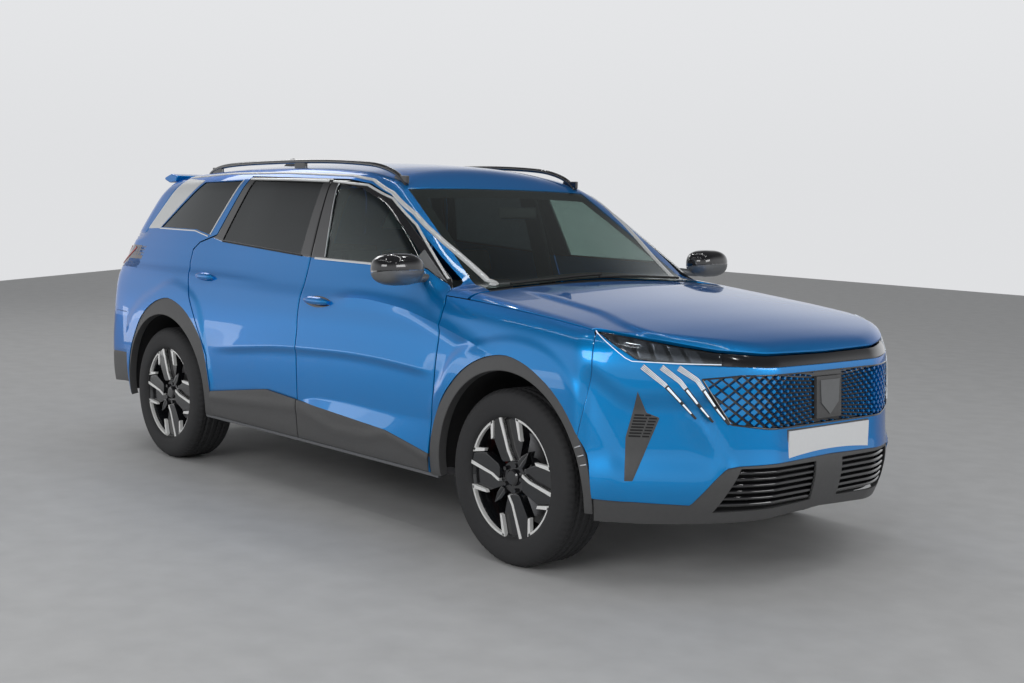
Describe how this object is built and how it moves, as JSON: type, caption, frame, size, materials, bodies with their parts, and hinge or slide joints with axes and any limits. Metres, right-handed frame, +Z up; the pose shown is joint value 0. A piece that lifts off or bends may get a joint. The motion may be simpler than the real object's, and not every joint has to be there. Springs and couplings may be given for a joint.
{
  "type": "five-door suv",
  "caption": "Five-door family estate on high suspension, with opening doors, bonnet and tailgate, steered front wheels and three rows of seats.",
  "frame": {"origin": "on the ground, under the middle of the car's length and width", "axes": "+X forward, +Y to the car's left, +Z up"},
  "size_m": [4.7779, 2.25, 1.694],
  "materials": {
    "paint": "metallic gloss",
    "cladding": "matt grain",
    "gloss_black": "gloss",
    "tinted_glass": "dark tint",
    "clear_glass": "light tint",
    "lamp": "clear lens",
    "red_lamp": "smoked lens",
    "tyre": "matt",
    "alloy": "two-tone",
    "steel": "coated",
    "interior_trim": "grained",
    "fabric": "woven"
  },
  "bodies": {
    "body": {"body_side_left": "paint", "body_side_right": "paint", "dashboard": "interior_trim", "engine_block": "steel", "front_bumper": "paint", "front_subframe": "steel", "front_wing_left": "paint", "front_wing_right": "paint", "grille": "gloss_black", "headlamp_bar": "lamp", "lower_bumper": "cladding", "quarter_glass_left": "tinted_glass", "quarter_glass_right": "tinted_glass", "rear_axle": "steel", "rear_bumper": "paint", "roof": "paint", "seat_front_left": "fabric", "seat_front_right": "fabric", "seats_second_row": "fabric", "seats_third_row": "fabric", "tail_lamp_left": "red_lamp", "tail_lamp_right": "red_lamp", "underbody": "interior_trim", "windscreen": "clear_glass"},
    "door_front_left": {"front_door_left": "paint", "front_door_left_glass": "clear_glass", "mirror_left": "gloss_black"},
    "door_front_right": {"front_door_right": "paint", "front_door_right_glass": "clear_glass", "mirror_right": "gloss_black"},
    "door_rear_left": {"rear_door_left": "paint", "rear_door_left_glass": "tinted_glass"},
    "door_rear_right": {"rear_door_right": "paint", "rear_door_right_glass": "tinted_glass"},
    "bonnet_lid": {"bonnet": "paint"},
    "tailgate_lid": {"tailgate": "paint", "tailgate_glass": "tinted_glass"},
    "steering": {"steering_wheel": "interior_trim"},
    "upright_left": {"knuckle_left": "steel"},
    "upright_right": {"knuckle_right": "steel"},
    "wheel_front_left": {"front_left_tyre": "tyre", "front_left_wheel": "alloy"},
    "wheel_front_right": {"front_right_tyre": "tyre", "front_right_wheel": "alloy"},
    "wheel_rear_left": {"rear_left_tyre": "tyre", "rear_left_wheel": "alloy"},
    "wheel_rear_right": {"rear_right_tyre": "tyre", "rear_right_wheel": "alloy"}
  },
  "joints": [
    {"name": "front_door_left_hinge", "type": "hinge", "parent": "body", "child": "door_front_left", "pos_m": [0.969, 0.90552, 0.52], "axis": [0, 0, -1], "range_deg": [0, 68]},
    {"name": "rear_door_left_hinge", "type": "hinge", "parent": "body", "child": "door_rear_left", "pos_m": [-0.13322, 0.90092, 0.52], "axis": [0, 0, -1], "range_deg": [0, 65]},
    {"name": "front_door_right_hinge", "type": "hinge", "parent": "body", "child": "door_front_right", "pos_m": [0.969, -0.90552, 0.52], "axis": [0, 0, 1], "range_deg": [0, 68]},
    {"name": "rear_door_right_hinge", "type": "hinge", "parent": "body", "child": "door_rear_right", "pos_m": [-0.13322, -0.90092, 0.52], "axis": [0, 0, 1], "range_deg": [0, 65]},
    {"name": "bonnet_hinge", "type": "hinge", "parent": "body", "child": "bonnet_lid", "pos_m": [1.174, 0, 1.08305], "axis": [0, -1, 0], "range_deg": [0, 50]},
    {"name": "tailgate_hinge", "type": "hinge", "parent": "body", "child": "tailgate_lid", "pos_m": [-1.783, 0, 1.58352], "axis": [0, 1, 0], "range_deg": [0, 80]},
    {"name": "steer_left", "type": "hinge", "parent": "body", "child": "upright_left", "pos_m": [1.485, 0.74, 0.3627], "axis": [0, 0, 1], "range_deg": [-35, 35]},
    {"name": "wheel_front_left_spin", "type": "hinge", "parent": "upright_left", "child": "wheel_front_left", "pos_m": [1.485, 0.8, 0.3627], "axis": [0, 1, 0], "continuous": true},
    {"name": "wheel_rear_left_spin", "type": "hinge", "parent": "body", "child": "wheel_rear_left", "pos_m": [-1.41, 0.8, 0.3627], "axis": [0, 1, 0], "continuous": true},
    {"name": "steer_right", "type": "hinge", "parent": "body", "child": "upright_right", "pos_m": [1.485, -0.74, 0.3627], "axis": [0, 0, 1], "range_deg": [-35, 35]},
    {"name": "wheel_front_right_spin", "type": "hinge", "parent": "upright_right", "child": "wheel_front_right", "pos_m": [1.485, -0.8, 0.3627], "axis": [0, 1, 0], "continuous": true},
    {"name": "wheel_rear_right_spin", "type": "hinge", "parent": "body", "child": "wheel_rear_right", "pos_m": [-1.41, -0.8, 0.3627], "axis": [0, 1, 0], "continuous": true},
    {"name": "steering_wheel_turn", "type": "hinge", "parent": "body", "child": "steering", "pos_m": [0.48, -0.37, 0.9], "axis": [-0.9063, 0, 0.4226], "range_deg": [-525, 525]}
  ],
  "couplings": [
    {"joint": "steer_right", "follows": "steer_left", "ratio": 1},
    {"joint": "steering_wheel_turn", "follows": "steer_left", "ratio": 14.9}
  ]
}
